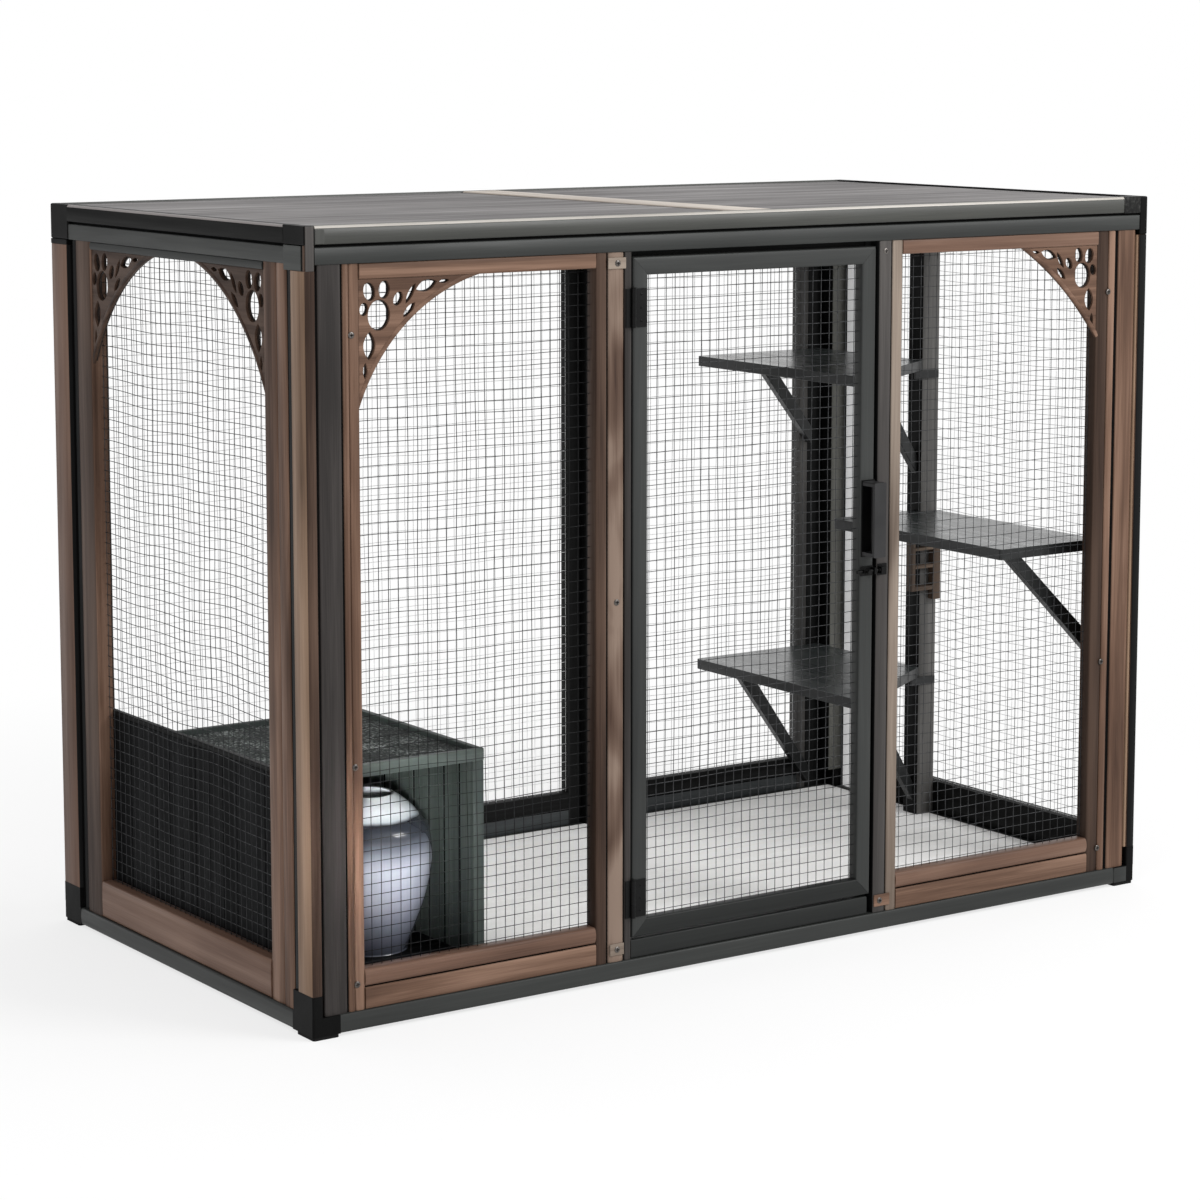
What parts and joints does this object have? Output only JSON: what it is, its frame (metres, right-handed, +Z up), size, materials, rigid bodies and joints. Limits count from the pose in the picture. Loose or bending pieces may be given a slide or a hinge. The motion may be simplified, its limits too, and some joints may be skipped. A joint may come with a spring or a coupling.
{
  "type": "cat enclosure",
  "caption": "Free-standing outdoor cat run: brown panel frames with welded wire, dark rails and roof, arched corner plates, hinged wire door, den with urn and corner climbing shelves.",
  "frame": {"origin": "middle of the footprint, door pull included, at ground level", "axes": "+X along the long side, from the den end to the shelf end; +Y from the door side to the back; +Z up"},
  "size_m": [2.472, 1.3, 1.8],
  "materials": {
    "bronze_wood": "satin bronze-brown stain over straight grain",
    "charcoal_wood": "satin charcoal stain",
    "plum_wood": "satin plum-grey stain",
    "black_wood": "satin near-black stain",
    "roof_board": "weathered grey-brown board",
    "pale_batten": "pale beige painted wood",
    "black_wire": "dark grey coated wire",
    "pale_wire": "pale grey coated wire",
    "pale_floor": "pale matt painted board",
    "black_plastic": "fine-grained black moulding",
    "black_rubber": "matt black",
    "black_hardware": "semi-matt black powder coat",
    "shelf_board": "satin dark charcoal stain",
    "rusty_wood": "dark rusty-brown stain",
    "den_board": "green-grey stained planks",
    "den_matting": "granular grey-green mat",
    "white_glaze": "white glaze with a soft sheen",
    "steel_screw": "plain steel heads"
  },
  "bodies": {
    "enclosure": {"back_centre_post": "black_wood", "back_left_panel_frame": "black_wood", "back_left_wire": "pale_wire", "back_right_panel_frame": "black_wood", "back_right_wire": "pale_wire", "base_rails_long": "charcoal_wood", "base_rails_short": "charcoal_wood", "bolt_keeper": "black_hardware", "bottom_corner_shoes": "black_plastic", "ceramic_urn": "white_glaze", "corner_posts_back": "bronze_wood", "corner_posts_front": "bronze_wood", "corner_shelves": "shelf_board", "den_back_wall": "den_board", "den_floor": "den_board", "den_front": "den_board", "den_side_walls": "den_board", "den_top": "den_board", "den_top_mat": "den_matting", "door_head_stop": "black_wood", "door_jamb_post": "bronze_wood", "door_threshold": "plum_wood", "floor_bearers": "black_wood", "floor_panel": "pale_floor", "foot_pads": "black_rubber", "frame_screws": "steel_screw", "front_left_panel_frame": "bronze_wood", "front_left_wire": "black_wire", "front_right_panel_frame": "bronze_wood", "front_right_wire": "black_wire", "front_spandrels": "bronze_wood", "hinge_jamb_leaves": "black_hardware", "hinge_pins": "black_hardware", "hinge_stile": "black_wood", "left_panel_frame": "bronze_wood", "left_spandrels": "bronze_wood", "left_wire": "black_wire", "middle_shelf": "shelf_board", "post_fillers": "plum_wood", "right_panel_frame": "black_wood", "right_wire": "pale_wire", "roof_batten": "pale_batten", "roof_beam": "black_wood", "roof_boards": "roof_board", "shelf_braces": "shelf_board", "shelf_cleats": "shelf_board", "shelf_corbel": "rusty_wood", "shelf_stanchion": "black_wood", "side_skirt": "black_wood", "strike_post": "black_wood", "top_corner_caps": "black_plastic", "top_rails_long": "charcoal_wood", "top_rails_short": "charcoal_wood"},
    "door": {"door_frame": "black_wood", "door_wire": "black_wire", "pull_handle": "black_hardware", "pull_backplate": "black_hardware", "hinge_door_leaves": "black_hardware", "bolt_guide": "black_hardware"},
    "bolt": {"slide_bolt": "black_hardware"}
  },
  "joints": [
    {"name": "door_hinge", "type": "hinge", "parent": "enclosure", "child": "door", "pos_m": [-0.3725, -0.606, 0.9], "axis": [0, 0, -1], "range_deg": [0, 110]},
    {"name": "bolt_slide", "type": "slide", "parent": "door", "child": "bolt", "axis": [1, 0, 0], "range_m": [0, 0.019]}
  ]
}
